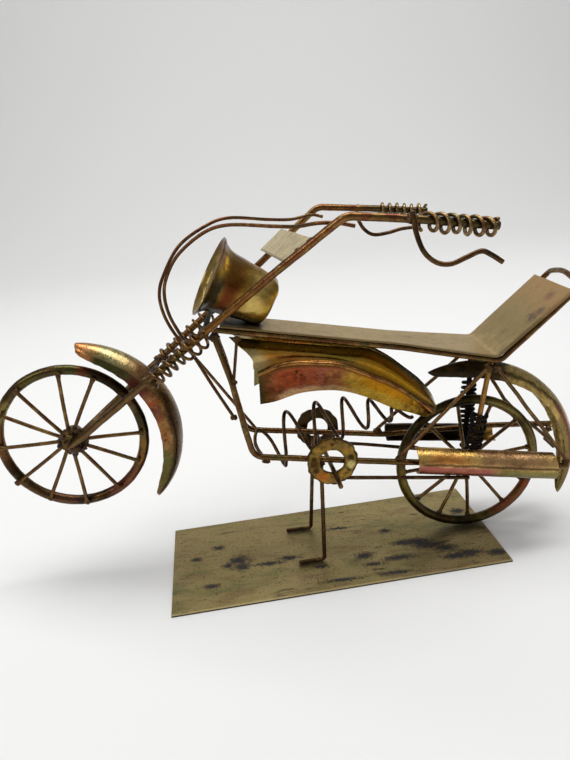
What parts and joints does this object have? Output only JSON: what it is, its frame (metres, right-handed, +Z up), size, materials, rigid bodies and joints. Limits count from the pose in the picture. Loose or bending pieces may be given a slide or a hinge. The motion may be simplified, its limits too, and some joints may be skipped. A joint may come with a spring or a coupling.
{
  "type": "model motorcycle",
  "caption": "Small chopper-style motorcycle made of bent brass wire and sheet, standing on a flat rectangular base plate; both wheels turn on their axles.",
  "frame": {"origin": "on the underside of the base plate, in the bike's middle plane, 5 mm from the plate's own centre", "axes": "+X towards the rear wheel, so the front of the bike faces -X; +Y away from the side shown in the picture; +Z up"},
  "size_m": [0.3078, 0.1222, 0.1856],
  "materials": {
    "base_plate": "flat sheet, stained olive-brown patina",
    "seat_sheet": "thin sheet, satin, lightly stained",
    "headlight": "spun sheet, heat-tinted amber and dark green bands",
    "fenders": "rolled sheet, heat-tinted olive, orange and pink",
    "exhaust_covers": "rolled sheet, heat-tinted gold, orange and pink",
    "tank_panels": "bent sheet, heat-tinted amber, red-orange and olive",
    "rings": "flat washers, gold with dark stains",
    "wheels": "thick wire, bronze-brown patina",
    "dark_wire": "thin wire, nearly black patina",
    "bronze_wire": "wire, satin bronze-brown patina"
  },
  "bodies": {
    "frame": {"base_plate": "base_plate", "frame_wire_near": "bronze_wire", "frame_wire_far": "bronze_wire", "seat_rail": "bronze_wire", "seat_strip": "seat_sheet", "fork_wire_near": "bronze_wire", "fork_wire_far": "bronze_wire", "fork_crossbar_upper": "bronze_wire", "fork_crossbar_lower": "bronze_wire", "fork_spring_near": "dark_wire", "fork_spring_far": "dark_wire", "grip_coil_near": "bronze_wire", "grip_coil_far": "bronze_wire", "brake_lever_near": "dark_wire", "brake_lever_far": "dark_wire", "cable_wire_near": "bronze_wire", "cable_wire_far": "bronze_wire", "bridge_plate": "seat_sheet", "headlight_cup": "headlight", "headlight_disc": "headlight", "front_axle": "dark_wire", "rear_axle": "dark_wire", "front_fender": "fenders", "rear_fender": "fenders", "rear_fender_stay": "dark_wire", "exhaust_cover_near": "exhaust_covers", "exhaust_cover_far": "exhaust_covers", "side_panel_upper_near": "tank_panels", "side_panel_upper_far": "tank_panels", "side_panel_lower_near": "tank_panels", "side_panel_lower_far": "tank_panels", "side_panel_bead_near": "bronze_wire", "side_panel_bead_far": "bronze_wire", "panel_strut_near": "bronze_wire", "engine_coil": "dark_wire", "crank_ring_near": "rings", "crank_ring_far": "rings", "footpeg_bar": "bronze_wire", "lower_pipe_near": "dark_wire", "lower_pipe_far": "dark_wire", "strut_front_near": "bronze_wire", "strut_front_far": "bronze_wire", "strut_rear_near": "bronze_wire", "strut_rear_far": "bronze_wire", "shock_rod_near": "bronze_wire", "shock_rod_far": "dark_wire", "shock_coil_near": "dark_wire", "shock_coil_far": "dark_wire", "stand_leg_near": "bronze_wire", "stand_leg_far": "bronze_wire"},
    "front_wheel": {"front_wheel_rim": "wheels", "front_wheel_spokes": "wheels"},
    "rear_wheel": {"rear_wheel_rim": "wheels", "rear_wheel_spokes": "wheels"}
  },
  "joints": [
    {"name": "front_wheel_spin", "type": "hinge", "parent": "frame", "child": "front_wheel", "pos_m": [-0.1303, 0, 0.0811], "axis": [0, 1, 0], "continuous": true},
    {"name": "rear_wheel_spin", "type": "hinge", "parent": "frame", "child": "rear_wheel", "pos_m": [0.079, 0, 0.0409], "axis": [0, 1, 0], "continuous": true}
  ]
}
